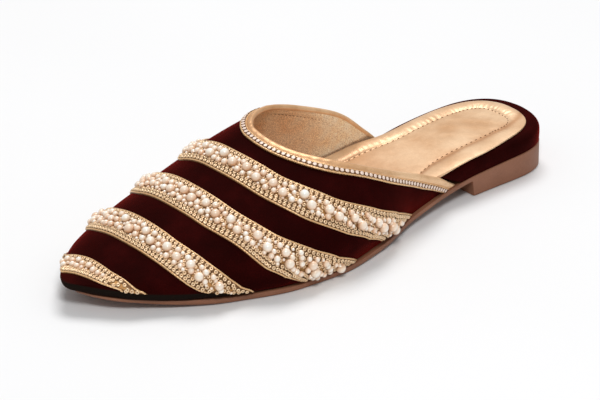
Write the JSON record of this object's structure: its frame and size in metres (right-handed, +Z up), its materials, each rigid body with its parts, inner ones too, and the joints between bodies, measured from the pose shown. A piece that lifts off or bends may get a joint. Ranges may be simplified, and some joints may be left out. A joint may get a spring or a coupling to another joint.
{
  "type": "embellished mule",
  "caption": "Flat pointed-toe mule with a velvet vamp crossed by pearl and stone bands, a bound collar, a padded metallic footbed and a low moulded heel.",
  "frame": {"origin": "middle of the bounding box at floor level", "axes": "+X from heel to toe, +Y to the outer side of a left foot, +Z up"},
  "size_m": [0.264, 0.1054, 0.0529],
  "materials": {
    "tan_rubber": "moulded, satin",
    "velvet_wrap": "short pile velvet",
    "gold_leather": "metallic coated, soft grain",
    "velvet": "short pile velvet",
    "gold_binding": "metallic coated, smooth",
    "stone_chain": "small clear stones on gold cord",
    "jewelled_band": "pearls and gold-rimmed stones on cloth"
  },
  "bodies": {
    "root": {"outsole": "tan_rubber", "board": "velvet_wrap", "sock_lining": "gold_leather", "upper": "velvet", "collar_binding": "gold_binding", "collar_chain": "stone_chain", "band_1": "jewelled_band", "band_2": "jewelled_band", "band_3": "jewelled_band", "band_4": "jewelled_band"}
  },
  "joints": []
}
